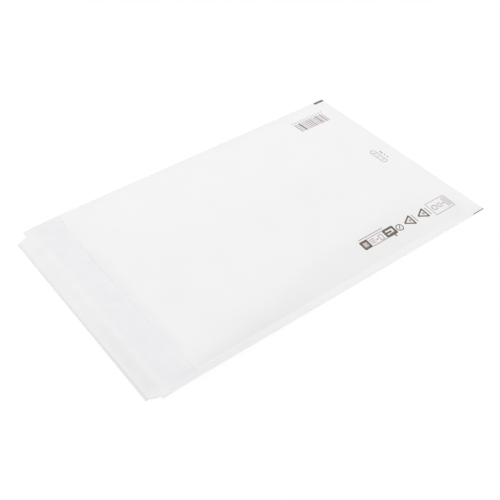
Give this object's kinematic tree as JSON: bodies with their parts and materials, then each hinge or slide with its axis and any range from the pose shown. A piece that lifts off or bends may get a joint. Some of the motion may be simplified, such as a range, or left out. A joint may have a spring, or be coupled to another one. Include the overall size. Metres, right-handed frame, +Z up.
{
  "type": "padded envelope",
  "caption": "Flat padded mailing envelope of white paper with a bubble liner, crimped side seams and an open self-seal flap, for posting small goods.",
  "frame": {"origin": "on the table under the middle of the envelope, centre of the bounding box in X and Y and its lowest level in Z", "axes": "+X across the envelope, +Y along it from the flap to the bottom fold, +Z up out of the back panel"},
  "size_m": [0.25, 0.4, 0.0076],
  "materials": {
    "white_paper": "matt",
    "bubble_film": "satin",
    "hot_melt": "tacky",
    "coated_paper": "smooth"
  },
  "bodies": {
    "root": {"outer_paper": "white_paper", "bubble_liner": "bubble_film", "adhesive_strip": "hot_melt", "release_liner": "coated_paper"}
  },
  "joints": []
}
